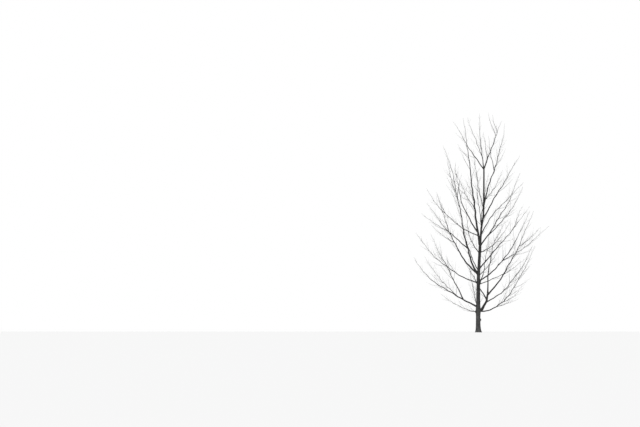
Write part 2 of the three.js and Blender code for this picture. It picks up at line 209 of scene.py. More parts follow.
def made(name, tree, points, edges, values, material, **sizes):
    """A piece that the tree makes from points and the lines between them, as a plain mesh."""
    lines = bpy.data.meshes.new(name + "_lines")
    lines.from_pydata(points.tolist(), edges.tolist(), [])
    for label, value in values.items():
        kind = "FLOAT_VECTOR" if value.ndim == 2 else "FLOAT"
        field = "vector" if value.ndim == 2 else "value"
        lines.attributes.new(label, kind, "POINT").data.foreach_set(field, value.astype(np.float32).ravel())
    source = bpy.data.objects.new(name + "_lines", lines)
    bpy.context.collection.objects.link(source)
    modifier = source.modifiers.new(tree.name, "NODES")
    modifier.node_group = tree
    sockets = {s.name: s.identifier for s in tree.interface.items_tree if s.in_out == "INPUT"}
    modifier[sockets["Material"]] = material
    for label, value in sizes.items():
        modifier[sockets[label.replace("_", " ").capitalize()]] = value
    graph = bpy.context.evaluated_depsgraph_get()
    mesh = bpy.data.meshes.new_from_object(
        source.evaluated_get(graph), preserve_all_data_layers=True, depsgraph=graph
    )
    source.modifiers.remove(modifier)
    bpy.data.objects.remove(source)
    bpy.data.meshes.remove(lines)
    piece = bpy.data.objects.new(name, mesh)
    bpy.context.collection.objects.link(piece)
    return piece


def line_edges(counts):
    """Pairs of neighbours along lines of points that follow each other in one list."""
    ends = np.cumsum(counts) - 1
    first = np.setdiff1d(np.arange(ends[-1]), ends)
    return np.stack([first, first + 1], 1)


def grey_ramp(tree, feed, low_place, low_grey, high_place, high_grey):
    ramp = tree.nodes.new("ShaderNodeValToRGB")
    tree.links.new(feed, ramp.inputs[0])
    for stop, place, grey in zip(ramp.color_ramp.elements, (low_place, high_place), (low_grey, high_grey)):
        stop.position = place
        stop.color = (grey, grey, grey, 1)
    return ramp.outputs["Color"]


def bark_look(name, plate_grey, furrow_grey, patch_grey, grain_size):
    """Dull bark: pale plates, dark furrows, soft paler patches, and a grain that is felt more than seen."""
    look = bpy.data.materials.new(name)
    look.use_nodes = True
    tree = look.node_tree
    shader = tree.nodes["Principled BSDF"]
    shader.inputs["Specular IOR Level"].default_value = BARK_SHINE
    where = wire(tree, "ShaderNodeTexCoord", {}).node.outputs["Object"]
    plate = wire(tree, "ShaderNodeAttribute", {}, attribute_name="plate").node.outputs["Fac"]
    fine = wire(tree, "ShaderNodeTexNoise", {
        "Vector": where, "Scale": 1 / grain_size, "Detail": GRAIN_DETAIL,
    })
    broad = wire(tree, "ShaderNodeTexNoise", {
        "Vector": where, "Scale": PATCH_SCALE, "Detail": PATCH_DETAIL, "Roughness": PATCH_ROUGHNESS,
    })
    plates = maths(tree, "MULTIPLY", plate, 1 - GRAIN_SHARE)
    worn = maths(tree, "MULTIPLY_ADD", fine, GRAIN_SHARE, plates)
    patches = wire(tree, "ShaderNodeMapRange", {
        "Value": broad, "From Min": PATCH_ENDS[0], "From Max": PATCH_ENDS[1],
        "To Min": 0.0, "To Max": PATCH_SHARE,
    })
    blend = tree.nodes.new("ShaderNodeMix")
    blend.data_type = "RGBA"
    tree.links.new(patches, blend.inputs["Factor"])
    greys = grey_ramp(tree, worn, GREY_ENDS[0], furrow_grey, GREY_ENDS[1], plate_grey)
    tree.links.new(greys, blend.inputs["A"])
    blend.inputs["B"].default_value = (patch_grey, patch_grey, patch_grey, 1)
    aged = wire(tree, "ShaderNodeMapRange", {
        "Value": wire(tree, "ShaderNodeAttribute", {}, attribute_name="roughness").node.outputs["Fac"],
        "To Min": YOUNG_SHADE, "To Max": 1.0,
    })
    shaded = vectors(tree, "SCALE", {0: blend.outputs["Result"], "Scale": aged})
    tree.links.new(shaded, shader.inputs["Base Color"])
    rough = wire(tree, "ShaderNodeMapRange", {
        "Value": fine, "From Min": ROUGHNESS_ENDS[0], "From Max": ROUGHNESS_ENDS[1],
        "To Min": BARK_ROUGHNESS[0], "To Max": BARK_ROUGHNESS[1],
    })
    tree.links.new(rough, shader.inputs["Roughness"])
    bump = wire(tree, "ShaderNodeBump", {
        "Strength": BUMP_STRENGTH, "Distance": BUMP_HEIGHT, "Height": fine,
    })
    tree.links.new(bump, shader.inputs["Normal"])
    return look


def trunk_line(height):
    height = np.asarray(height, float)
    return np.stack([np.interp(height, *zip(*TRUNK_LEAN)), np.zeros_like(height), height], -1)


def trunk_radius(height):
    return np.interp(height, *zip(*TRUNK_DIAMETERS)) / 2


def smoothed(values):
    """The values with their corners rounded off over a few rings."""
    padded = np.pad(values, SMOOTHING_RINGS, mode="reflect", reflect_type="odd")
    weights = np.hanning(2 * SMOOTHING_RINGS + 1)
    return np.convolve(padded, weights / weights.sum(), mode="valid")


heights = np.append(np.arange(0, TRUNK_TOP - TOP_ROUNDING, TRUNK_RING_GAP), TRUNK_TOP - TOP_ROUNDING)
girth = smoothed(trunk_radius(heights))
domed = np.sin(np.linspace(0, math.pi / 2, TOP_RINGS + 1)[1:])
girth = np.append(girth, girth[-1] * np.sqrt(DOME_SIZE - domed**2))
heights = np.append(heights, TRUNK_TOP - TOP_ROUNDING + TOP_ROUNDING * domed)
middle = trunk_line(heights)
middle[:, 0] = smoothed(middle[:, 0])
knobs = []
for knob_height, knob_bearing, proud, wide in KNOBS:
    turned = math.radians(knob_bearing)
    out = Vector((math.cos(turned), math.sin(turned), 0)) * trunk_radius(knob_height)
    knobs.append((Vector((0, 0, knob_height)) + out, proud, wide))
trunk = made(
    "trunk_wood", bark_tree("Trunk with bark", knobs), middle, line_edges([len(middle)]), {
        "middle": middle,
        "girth": girth,
        "along": heights,
        "roughness": np.exp(-heights / FURROW_FADE),
        "flare": girth * FLARE_SHARE * np.exp(-heights / FLARE_FADE),
    }, bark_look("furrowed_bark", PLATE_GREY, FURROW_GREY, PATCH_GREY, GRAIN_SIZE), sides=TRUNK_SIDES,
    furrow_width=FURROW_WIDTH, furrow_length=FURROW_LENGTH, furrow_depth=FURROW_DEPTH,
    swell_share=SWELL_SHARE, swell_length=SWELL_LENGTH, flare_lobes=float(FLARE_LOBES),
    lobe_share=LOBE_SHARE,
)
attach(trunk, "root")
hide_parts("trunk")


# The boughs
# Limbs of green wood that leave the trunk, or each other, in whorls and sweep up to the crown's edge. They
# kink a little at old buds, and taper from a swollen collar to a tip thinner than a pencil. One short limb
# ends in a thick dome instead, where others part. Their bark is young, thin and nearly smooth.
LIMBS = {
    # Parent, height on it, bearing of the tip, slope, reach, top, slope at the tip, thickness, and the share
    # that is bare. Some rows add a swing to one side, and how far the first slope holds. A fork has no collar
    # and adds to its parent's twigs. Slopes, bearings and swings are in degrees.
    "right_root": ("trunk", 0.990, -13, 0, 0.450, 1.760, 84, 0.125, 1),
    "right_main": ("right_root", 1.690, -15, 46, 2.600, 5.500, 67, 0.073, 0.2),
    "left_low": ("trunk", 1.140, 180, 29, 2.910, 3.400, 66, 0.076, 0.36, 0, 0.28),
    "right_back_low": ("trunk", 0.980, 32, -9, 3.080, 3.950, 61, 0.060, 0.2),
    "left_pole": ("trunk", 2.620, -176, 50, 1.580, 8.480, 66, 0.092, 0.3, 0, 0.2),
    "left_front_high": ("trunk", 2.620, -140, 30, 2.420, 6.300, 70, 0.079, 0.3),
    "second_leader": ("trunk", 3.930, 130, 76, 1.060, 9.790, 76, 0.108, 0.25, 0, 0.3),
    "right_back_mid": ("trunk", 2.320, 29, 25, 2.700, 5.570, 65, 0.065, 0.24),
    "right_front_mid": ("trunk", 2.860, -31, 46, 2.700, 5.660, 52, 0.060, 0.28),
    "right_fork": ("trunk", 3.920, 22, 52, 2.050, 7.270, 73, 0.065, 0.22),
    "left_wide": ("trunk", 2.240, -165, 16, 2.900, 4.500, 58, 0.056, 0.28),
    "left_back_rise": ("left_low", 1.500, 135, 53, 3.100, 4.530, 53, 0.055, 0.25),
    "left_back_mid": ("left_pole", 3.810, 157, 33, 2.550, 5.910, 52, 0.056, 0.25),
    "right_front_rise": ("right_root", 1.730, -60, 70, 2.400, 4.930, 44, 0.065, 0.3, -19, 0.42),
    "right_front_low": ("right_root", 1.370, -36, 18, 3.020, 3.870, 60, 0.054, 0.25),
    "leader_back_left": ("second_leader", 4.550, 124, 44, 1.850, 7.800, 84, 0.065, 0.25, 12),
    "left_upper": ("second_leader", 4.390, 172, 20, 2.370, 6.540, 60, 0.046, 0.25),
    "right_upper": ("trunk", 4.400, 2, 68, 2.080, 6.800, 46, 0.052, 0.25),
    "right_high": ("trunk", 5.150, -8, 60, 1.920, 8.000, 58, 0.064, 0.25),
    "right_top": ("trunk", 5.770, 15, 78, 1.250, 9.500, 87, 0.065, 0.3),
    "back_mid": ("trunk", 2.760, 105, 26, 2.900, 5.200, 58, 0.051, 0.28),
    "front_low": ("trunk", 1.950, -80, 24, 2.800, 4.300, 55, 0.051, 0.28),
    "left_front_low": ("left_low", 1.620, -143, 29, 3.000, 3.390, 48, 0.033, 0),
    "left_skirt": ("trunk", 0.940, -145, 2, 2.060, 1.740, 34, 0.033, 0),
    "front_left_mid": ("trunk", 3.600, -101, 20, 2.700, 5.360, 42, 0.048, 0, -12),
    "front_cross": ("right_root", 1.480, -107, 42, 1.900, 3.200, 50, 0.062, 0),
    "right_inner": ("trunk", 2.180, 5, 16, 2.200, 3.390, 41, 0.040, 0),
    "back_right_inner": ("trunk", 2.560, 67, 19, 2.650, 4.000, 40, 0.039, 0),
    "back_right_mid": ("trunk", 3.620, 58, 11, 2.800, 5.150, 49, 0.045, 0),
    "right_fork_front": ("right_fork", 4.400, -28, 34, 2.300, 6.570, 64, 0.046, 0),
    "front_right_high": ("trunk", 5.950, -56, 25, 2.020, 7.300, 48, 0.031, 0),
    "back_centre": ("trunk", 4.250, 75, 54, 1.910, 7.300, 64, 0.045, 0, 12),
    "back_low": ("trunk", 1.130, 100, 20, 2.550, 3.400, 52, 0.041, 0),
    "front_high": ("trunk", 4.780, -92, 40, 2.150, 7.200, 66, 0.039, 0),
    "back_high": ("trunk", 5.560, 98, 50, 1.600, 8.400, 70, 0.037, 0),
    "top_right": ("trunk", 7.430, 5, 68, 1.090, 9.600, 66, 0.059, 0),
    "top_centre": ("trunk", 7.440, 79, 72, 0.310, 9.950, 86, 0.050, 0),
    "top_left": ("trunk", 7.400, 170, 52, 1.130, 9.580, 58, 0.050, 0),
    "right_main_fork": ("right_main", 3.890, -20, 27, 3.000, 4.740, 46, 0.026, "fork"),
    "right_back_fork": ("right_back_mid", 3.250, 5, 26, 3.260, 4.850, 42, 0.031, "fork"),
    "right_front_fork": ("right_front_mid", 4.680, -22, 62, 2.210, 5.750, 58, 0.024, "fork"),
    "right_low_fork": ("right_back_low", 1.370, 28, 20, 2.380, 2.040, 36, 0.021, "fork"),
    "right_skirt": ("right_back_low", 1.220, 40, 2, 2.400, 1.550, 26, 0.019, "fork"),
    "left_pole_fork": ("left_pole", 6.010, 160, 58, 1.500, 7.900, 76, 0.027, "fork"),
    "left_front_fork": ("left_front_high", 4.050, -150, 22, 2.410, 4.840, 50, 0.023, "fork"),
    "left_back_fork": ("left_back_mid", 4.660, 168, 22, 2.610, 5.410, 44, 0.024, "fork"),
    "left_upper_fork": ("left_upper", 5.420, 165, 62, 1.920, 6.300, 70, 0.018, "fork"),
    "leader_front_left": ("second_leader", 5.620, -122, 32, 2.000, 7.390, 51, 0.031, "fork"),
    "right_top_fork": ("right_top", 7.320, 55, 76, 0.850, 8.950, 88, 0.036, "fork"),
    "top_right_fork": ("top_right", 8.900, 35, 74, 0.600, 10.000, 86, 0.025, "fork"),
    "top_front_fork": ("top_right", 7.900, -65, 66, 0.560, 9.050, 76, 0.027, "fork"),
    "top_left_fork": ("top_centre", 7.980, -142, 66, 0.570, 9.750, 76, 0.029, "fork"),
    "top_right_curl": ("top_right", 9.050, 8, 80, 0.690, 9.880, 88, 0.020, "fork"),
}
HOLD = 0.34
TAPER = 1.1
TIP_DIAMETER = 0.005
FORK_DIAMETER = 0.084
COLLAR_SHARE = 0.42
COLLAR_LENGTHS = 1.1
ROOT_WIDTH = 0.7
ROOT_REACH = 1.5
ROOT_RINGS = 7
DOME_RINGS = 6
BOUGH_RING_GAP = 0.026
BOUGH_SIDES = 12
SWAY = 0.022
SWAY_LENGTH = 1.7
BEND = 0.015
BEND_LENGTH = 0.55
BEND_GROWTH = 3
BEND_FALL = 0.4
RISING_BEND = 1.2
KINK = 0.97
BOUGH_FURROW_WIDTH = 0.012
BOUGH_FURROW_LENGTH = 0.05
BOUGH_FURROW_DEPTH = 0.0016
BOUGH_FURROW_FALL = 0.6
BOUGH_SWELL_SHARE = 0.22
BOUGH_SWELL_LENGTH = 0.11
YOUNG_PLATE_GREY = 0.030
YOUNG_FURROW_GREY = 0.012
YOUNG_PATCH_GREY = 0.042
YOUNG_GRAIN_SIZE = 0.012
PATTERN_GAP = 10
LENGTH_STEPS = 200
SLOPE_STEP = 1e-4
SHARE_STEP = 1e-5
SEED = 4207
WORD = np.uint64(0xFFFFFFFF)
GOLDEN = np.uint64(0x9E3779B9)
MIX_FIRST = np.uint64(0x85EBCA6B)
MIX_LAST = np.uint64(0xC2B2AE35)
SHIFT_FIRST = np.uint64(13)
SHIFT_LAST = np.uint64(16)


def chance(*keys):
    """A number from 0 to 1 that depends only on the keys, by the rule that the solids use."""
    mix = np.uint64(SEED)
    for key in keys:
        mix = mix ^ (np.asarray(key).astype(np.uint64) + GOLDEN & WORD)
        mix = mix * MIX_FIRST & WORD
        mix = mix ^ mix >> SHIFT_FIRST
        mix = mix * MIX_LAST & WORD
        mix = mix ^ mix >> SHIFT_LAST
    return mix / 2**32


def unit(vector):
    return vector / np.linalg.norm(vector, axis=-1, keepdims=True)


def direction(course, slope):
    flat = math.cos(slope)
    return np.array([flat * math.cos(course), flat * math.sin(course), math.sin(slope)])


def zigzag(turns):
    """A wave from -1 to 1 with straight flanks and rounded corners."""
    return np.arcsin(KINK * np.sin(turns)) / math.asin(KINK)


class Limb:
    """One limb: a cubic curve from its parent's middle line to its tip, with small kinks on the way."""

    def __init__(self, name, row):
        origin, height, bearing, leave, reach, top, arrive, self.thickness, kind, *rest = row
        swing, hold = rest + [0, HOLD][len(rest):]
        fork = kind == "fork"
        parent = limbs.get(origin)
        self.number = len(limbs) + 1
        self.bare = 0 if fork else kind
        self.mass = limbs[origin].mass if fork else name
        self.collar = 0 if fork else COLLAR_SHARE
        self.end = FORK_DIAMETER if kind == 1 else TIP_DIAMETER
        self.rounding = FORK_DIAMETER / 2 if kind == 1 else 0
        if parent is None:
            start = trunk_line(height)
            self.seat = trunk_radius(height)
            self.shift = np.zeros(3)
        else:
            joint = parent.share_at(height)
            start = parent.point(joint, bent=False)
            self.seat = parent.radius(joint)
            self.shift = parent.point(joint) - start
        tip = np.append(reach * direction(math.radians(bearing), 0)[:2], top)
        chord = tip - start
        across = np.linalg.norm(chord)
        course = math.atan2(chord[1], chord[0])
        leaving = direction(course + math.radians(swing), math.radians(leave))
        arriving = direction(course - math.radians(swing), math.radians(arrive))
        self.corners = np.array([start, start + hold * across * leaving, tip - HOLD * across * arriving, tip])
        steps = self.point(np.linspace(0, 1, LENGTH_STEPS + 1), bent=False)
        self.length = np.linalg.norm(np.diff(steps, axis=0), axis=1).sum()
        self.level = unit(np.array([-chord[1], chord[0], 0.0]))
        self.rising = np.cross(self.level, chord / across)

    def point(self, share, bent=True):
        share = np.asarray(share, float)[..., None]
        left = 1 - share
        a, b, c, d = self.corners
        point = left**3 * a + 3 * left**2 * share * b + 3 * left * share**2 * c + share**3 * d
        if bent:
            phases = 2 * math.pi * chance(self.number, np.arange(4))
            swings = 2 * math.pi * share * self.length / SWAY_LENGTH
            kinks = 2 * math.pi * share * self.length / BEND_LENGTH
            side = SWAY * np.sin(swings + phases[0]) + BEND * zigzag(kinks + phases[1])
            over = SWAY * np.sin(swings + phases[2]) + BEND * zigzag(RISING_BEND * kinks + phases[3])
            size = np.clip(BEND_GROWTH * share, 0, 1) * (1 - BEND_FALL * share)
            point = point + size * (side * self.level + over * self.rising) + left**2 * self.shift
        return point

    def forward(self, share):
        return unit(self.point(share + SLOPE_STEP) - self.point(share - SLOPE_STEP))

    def radius(self, share):
        """Half the limb's thickness: it starts narrow inside its parent, and has a dome where others part."""
        out = share * self.length
        taper = self.end + (self.thickness - self.end) * (1 - share) ** TAPER
        past = np.maximum(0, out - self.seat)
        collar = self.collar * self.thickness * np.exp(-past / (COLLAR_LENGTHS * self.thickness))
        full = (taper + collar) / 2
        hidden = np.minimum(full, ROOT_WIDTH * self.seat)
        grown = np.clip(out / (ROOT_REACH * self.seat), 0, 1)
        dome = np.clip((out - self.length) / self.rounding + 1, 0, 1) if self.rounding else 0
        return (hidden + (full - hidden) * grown**2 * (3 - 2 * grown)) * np.sqrt(DOME_SIZE - dome**2)

    def rings(self):
        """The places of the rings, close together where the limb leaves its parent and in its dome."""
        root = np.linspace(0, ROOT_REACH * self.seat, ROOT_RINGS)
        dome = self.length - self.rounding * (1 - np.sin(np.linspace(0, math.pi / 2, DOME_RINGS)))
        end = dome if self.rounding else dome[-1:]
        along = np.arange(root[-1], end[0] - BOUGH_RING_GAP / 2, BOUGH_RING_GAP)
        return np.concatenate([root[:-1], along, end]) / self.length

    def share_at(self, height):
        """Where the limb reaches a height, past any dip near its root."""
        low, high = 0.0, 1.0
        while high - low > SHARE_STEP:
            share = (low + high) / 2
            if self.point(share, bent=False)[2] < height:
                low = share
            else:
                high = share
        return high


limbs = {}
for name, row in LIMBS.items():
    limbs[name] = Limb(name, row)

bough_points, bough_values = [], []
for limb in limbs.values():
    share = limb.rings()
    bough_points.append(limb.point(share))
    bough_values.append(np.stack([
        limb.radius(share), share * limb.length + PATTERN_GAP * limb.number, 1 - BOUGH_FURROW_FALL * share,
    ], 1))
bough_middle = np.concatenate(bough_points)
bough_radius, bough_along, bough_rough = np.concatenate(bough_values).T
boughs = made(
    "bough_wood", bark_tree("Boughs with bark", []), bough_middle,
    line_edges([len(line) for line in bough_points]), {
        "middle": bough_middle,
        "girth": bough_radius,
        "along": bough_along,
        "roughness": bough_rough,
        "flare": np.zeros(len(bough_radius)),
    }, bark_look("young_bark", YOUNG_PLATE_GREY, YOUNG_FURROW_GREY, YOUNG_PATCH_GREY, YOUNG_GRAIN_SIZE),
    sides=BOUGH_SIDES, furrow_width=BOUGH_FURROW_WIDTH, furrow_length=BOUGH_FURROW_LENGTH,
    furrow_depth=BOUGH_FURROW_DEPTH, swell_share=BOUGH_SWELL_SHARE, swell_length=BOUGH_SWELL_LENGTH,
    flare_lobes=0.0, lobe_share=0.0,
)
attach(boughs, "root")
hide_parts(*[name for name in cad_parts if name.startswith("bough_")])


# The shoots and twigs
# Long shoots stand in pairs on the outer part of each limb, each pair turned a right angle from the last, and
# bend up to the light. Twigs stand by turns on both sides of them, and finer twigs on those. Any that would
# leave the crown, or pass a limb too closely, is left out.
CROWN_RADIUS = 3.15
CROWN_WIDEST = 4.2
CROWN_FOOT = 0.65
CROWN_TOP = 10.05
CROWN_FALL = 1.1
CROWN_ROUNDNESS = 0.55
EDGE_LEAST = 0.1
SHADE = 0.2
LOW_LIGHT = 0.25
FIRST_NODE = 0.15
NODE_GAP = 0.49
LAST_NODE = 0.17
SHOOT_CHANCE = 0.9
SHOOT_SHARE = 0.42
SHOOT_LEAST = 0.09
SHOOT_MOST = 1.15
SHOOT_ANGLE = 34
SHOOT_LIFT = 0.7
TWIG_FROM = 0.62
TWIG_NODES = [0.32, 0.58]
TWIG_SHARE = 0.55
TWIG_ANGLE = 34
TWIG_LIFT = 0.5
ANGLE_SPREAD = (0.8, 1.2)
LENGTH_SPREAD = (0.7, 1.2)
GAP_SPREAD = (0.8, 1.2)
TURN_SPREAD = (-0.5, 0.5)
PASSING_GAP = 0.012
STRETCH = 0.15
ROOM_SHARES = [0.25, 0.5, 0.75, 1]
DRAW = {"turn": 1, "angle": 2, "length": 3, "kept": 4, "gap": 5, "place": 6}
SHOOT_THICKNESS = 0.0024
SHOOT_THICKENING = 0.0125
TWIG_THICKENING = 0.0070
SHOOT_TIP = 0.0012
SHOOT_ON_STEM = 1.6
BETWEEN_NODES = 3
BETWEEN_SHARE = 0.5
BETWEEN_CHANCE = 0.95
BETWEEN_SHIFT = 0.3
KNOT_FROM = 0.25
KNOT_NUMBER = 100
KNOT_GAP = 0.13
BARE_CHANCE = 0.3
BARE_LENGTH = 0.34
BARE_LEAST = 0.03
FINE_GAP = 0.11
FINE_FROM = 0.6
FINE_SHARE = 0.42
FINE_CHANCE = 0.65
FINE_LEAST = 0.025
FINE_THICKNESS = 0.0018
FINE_NUMBER = 10
FINE_TAPER = 0.7
FINER_FROM = 0.18
SHOOT_POINTS = 8
TWIG_POINTS = 5
SHOOT_SIDES = 5
TWIG_SIDES = 3
ROOM_CHUNK = 800
TWIG_GREY = 0.024
SHOOT_GREY = 0.028
TWIG_ROUGHNESS = 0.72
TWIG_SHINE = 0.2
MOTTLE_SCALE = 9.0
MOTTLE_DETAIL = 4.0
MOTTLE_ENDS = (0.3, 0.7)
MOTTLE_SHADES = (0.7, 1.3)


def between(spread, *keys):
    return spread[0] + (spread[1] - spread[0]) * chance(*keys)


def crown_radius(height):
    low = np.clip((CROWN_WIDEST - height) / (CROWN_WIDEST - CROWN_FOOT), 0, 1)
    high = np.clip((height - CROWN_WIDEST) / (CROWN_TOP - CROWN_WIDEST), 0, 1)
    below = np.sqrt(1 - low**2)
    above = (1 - high**CROWN_FALL) ** CROWN_ROUNDNESS
    return CROWN_RADIUS * np.where(height < CROWN_WIDEST, below, above)


def light(points):
    """The share of light that reaches places in the crown: most at its edge and its top."""
    out = np.hypot(points[:, 0], points[:, 1]) / np.maximum(EDGE_LEAST, crown_radius(points[:, 2]))
    up = LOW_LIGHT + (1 - LOW_LIGHT) * points[:, 2] / CROWN_TOP
    return SHADE + (1 - SHADE) * np.clip(out, 0, 1) * up


masses = {name: place for place, name in enumerate(limbs)}
stretch_rows = []
trunk_cuts = np.linspace(0, TRUNK_TOP, math.ceil(TRUNK_TOP / STRETCH) + 1)
for low, high in zip(trunk_cuts[:-1], trunk_cuts[1:]):
    stretch_rows.append((*trunk_line(low), *trunk_line(high), trunk_radius(low), -1))
for limb in limbs.values():
    cuts = np.linspace(0, 1, math.ceil(limb.length / STRETCH) + 1)
    for low, high in zip(cuts[:-1], cuts[1:]):
        mass = masses[limb.mass] if low >= limb.bare else -1
        stretch_rows.append((*limb.point(low), *limb.point(high), limb.radius(low), mass))
stretches = np.array(stretch_rows)


def shoot_point(shoots, share):
    """Points on shoots, all at one share of the length or each at its own."""
    share = np.broadcast_to(share, shoots["length"].shape)[:, None]
    turned = share**2 / 2
    bend = (share - turned) * shoots["leaving"] + turned * shoots["ending"]
    return shoots["start"] + shoots["length"][:, None] * bend


def has_room(shoots):
    """Which shoots stay in the crown, and nearer to their own mass's stems than to any other limb."""
    start, end, thick, owner = stretches[:, :3], stretches[:, 3:6], stretches[:, 6], stretches[:, 7]
    course = end - start
    squared = (course**2).sum(1)
    room = np.ones(len(shoots["length"]), bool)
    for share in ROOM_SHARES:
        points = shoot_point(shoots, share)
        radius = shoots["thickness"] / 2 * (1 - share)
        room &= np.hypot(points[:, 0], points[:, 1]) <= crown_radius(points[:, 2])
        for first in range(0, len(points), ROOM_CHUNK):
            part = slice(first, first + ROOM_CHUNK)
            gap = points[part, None] - start
            along = np.clip((gap * course).sum(2) / squared, 0, 1)
            away = np.linalg.norm(gap - along[..., None] * course, axis=2)
            own = owner == shoots["mass"][part, None]
            clear = own | (away >= thick + radius[part, None] + PASSING_GAP)
            near_own = np.where(own, away, np.inf).min(1)
            near_other = np.where(own | (owner < 0), np.inf, away).min(1)
            room[part] &= clear.all(1) & (near_other >= near_own + 2 * radius[part] + PASSING_GAP)
    return room


def new_shoots(start, forward, turn, angle, lift, length, thickness, mass, keys):
    """Shoots that leave a stem at an angle, turned round it, and bend up to the light."""
    level = unit(np.cross(forward, [0, 0, 1]))
    rising = np.cross(level, forward)
    outward = np.cos(turn)[:, None] * level + np.sin(turn)[:, None] * rising
    leaving = np.cos(angle)[:, None] * forward + np.sin(angle)[:, None] * outward
    return {
        "start": start,
        "leaving": leaving,
        "ending": unit(leaving + np.array([0, 0, lift])),
        "length": length,
        "thickness": thickness,
        "mass": mass,
        "keys": keys,
    }


def kept(shoots, mask):
    return {label: value[mask] for label, value in shoots.items()}


def joined(batches):
    return {label: np.concatenate([batch[label] for batch in batches]) for label in batches[0]}


def limb_nodes():
    """The nodes that carry shoots: the limb, the place on it, the node, its extra, its size and its odds."""
    rows = []
    for limb in limbs.values():
        place = limb.bare * limb.length + FIRST_NODE
        node = 0
        while place < limb.length - LAST_NODE:
            gap = NODE_GAP * between(GAP_SPREAD, limb.number, node, DRAW["gap"])
            rows.append((limb, place, node, 0, 1.0, SHOOT_CHANCE))
            for extra in range(1, BETWEEN_NODES + 1):
                shift = BETWEEN_SHIFT * (chance(limb.number, node, extra, DRAW["place"]) - 0.5)
                later = place + gap * (extra + shift) / (BETWEEN_NODES + 1)
                if later < limb.length - LAST_NODE / 2:
                    rows.append((limb, later, node, extra, BETWEEN_SHARE, BETWEEN_CHANCE))
            place += gap
            node += 1
        if limb.bare < 1:
            for knot in range(int(limb.bare * limb.length / KNOT_GAP)):
                rows.append((limb, KNOT_FROM + KNOT_GAP * knot, KNOT_NUMBER + knot, 0, 0, BARE_CHANCE))
    return rows


def limb_shoots():
    """Pairs of shoots at the nodes of every stem, shorter pairs between them, and a few on bare boughs."""
    rows = limb_nodes()
    owners, where, node, extra, size, odds = zip(*rows)
    where, node, extra, size, odds = (np.array(column) for column in (where, node, extra, size, odds))
    length = np.array([limb.length for limb in owners])
    share = where / length
    start = np.array([limb.point(s) for s, limb in zip(share, owners)])
    forward = np.array([limb.forward(s) for s, limb in zip(share, owners)])
    stem = np.array([limb.radius(s) for s, limb in zip(share, owners)])
    number = np.array([limb.number for limb in owners])
    mass = np.array([masses[limb.mass] for limb in owners])
    batches = []
    for side in (0, 1):
        keys = np.stack([number, node, side + 2 * extra], 1)
        room = SHOOT_LEAST + SHOOT_SHARE * (length - where)
        grown = np.minimum(SHOOT_MOST, size * room * between(LENGTH_SPREAD, *keys.T, DRAW["length"]))
        spur = BARE_LEAST + BARE_LENGTH * chance(*keys.T, DRAW["length"]) ** 2
        reach = np.where(size > 0, grown, spur)
        turn = math.pi * side + math.pi / 2 * (node + extra) + between(TURN_SPREAD, *keys.T, DRAW["turn"])
        angle = np.radians(SHOOT_ANGLE * between(ANGLE_SPREAD, *keys.T, DRAW["angle"]))
        thickness = np.minimum(SHOOT_THICKNESS + SHOOT_THICKENING * reach, SHOOT_ON_STEM * stem)
        shoots = new_shoots(start, forward, turn, angle, SHOOT_LIFT, reach, thickness, mass, keys)
        grows = chance(*keys.T, DRAW["kept"]) <= np.where(extra > 0, odds * light(start), odds)
        batches.append(kept(shoots, grows & ((size == 0) | has_room(shoots))))
    return joined(batches)


def side_twigs(shoots):
    """The twigs on shoots: two long ones on the longest shoots, and finer ones by turns along every shoot."""
    long_shoots = kept(shoots, shoots["length"] > TWIG_FROM)
    plans = [(long_shoots, share, node, TWIG_SHARE, 1.0) for node, share in enumerate(TWIG_NODES)]
    for node in range(int(shoots["length"].max() / FINE_GAP)):
        far_enough = kept(shoots, shoots["length"] > FINE_GAP * (node + 1 + FINE_FROM / 2))
        share = FINE_GAP * (node + FINE_FROM) / far_enough["length"]
        plans.append((far_enough, share, FINE_NUMBER + node, FINE_SHARE, FINE_CHANCE))
    batches = []
    for parents, share, node, size, odds in plans:
        share = np.broadcast_to(share, parents["length"].shape)
        keys = np.column_stack([parents["keys"], np.full(len(share), node)])
        forward = unit((1 - share)[:, None] * parents["leaving"] + share[:, None] * parents["ending"])
        length = size * parents["length"] * (1 - share) * between(LENGTH_SPREAD, *keys.T, DRAW["length"])
        turn = math.pi * node + between(TURN_SPREAD, *keys.T, DRAW["turn"])
        angle = np.full(len(share), math.radians(TWIG_ANGLE))
        thickest = parents["thickness"] * (1 - FINE_TAPER * share)
        thickness = np.minimum(FINE_THICKNESS + TWIG_THICKENING * length, thickest)
        twigs = new_shoots(
            shoot_point(parents, share), forward, turn, angle, TWIG_LIFT, length, thickness,
            parents["mass"], keys,
        )
        lit = 1 if size == TWIG_SHARE else light(twigs["start"])
        grows = (chance(*keys.T, DRAW["kept"]) <= odds * lit) & (length > FINE_LEAST)
        batches.append(kept(twigs, grows & has_room(twigs)))
    return joined(batches)


def wood_tree(name):
    tree, given = new_tree(name, {"Sides": "Int"})
    end_tree(tree, sweep(tree, given["Geometry"], given["Sides"]), given["Material"])
    return tree


def twig_look(name, grey):
    """Smooth young bark, darker and paler by turns as the year's growth changes."""
    look = bpy.data.materials.new(name)
    look.use_nodes = True
    tree = look.node_tree
    shader = tree.nodes["Principled BSDF"]
    shader.inputs["Roughness"].default_value = TWIG_ROUGHNESS
    shader.inputs["Specular IOR Level"].default_value = TWIG_SHINE
    where = wire(tree, "ShaderNodeTexCoord", {}).node.outputs["Object"]
    mottle = wire(tree, "ShaderNodeTexNoise", {
        "Vector": where, "Scale": MOTTLE_SCALE, "Detail": MOTTLE_DETAIL,
    })
    dark, pale = (shade * grey for shade in MOTTLE_SHADES)
    greys = grey_ramp(tree, mottle, MOTTLE_ENDS[0], dark, MOTTLE_ENDS[1], pale)
    tree.links.new(greys, shader.inputs["Base Color"])
    return look


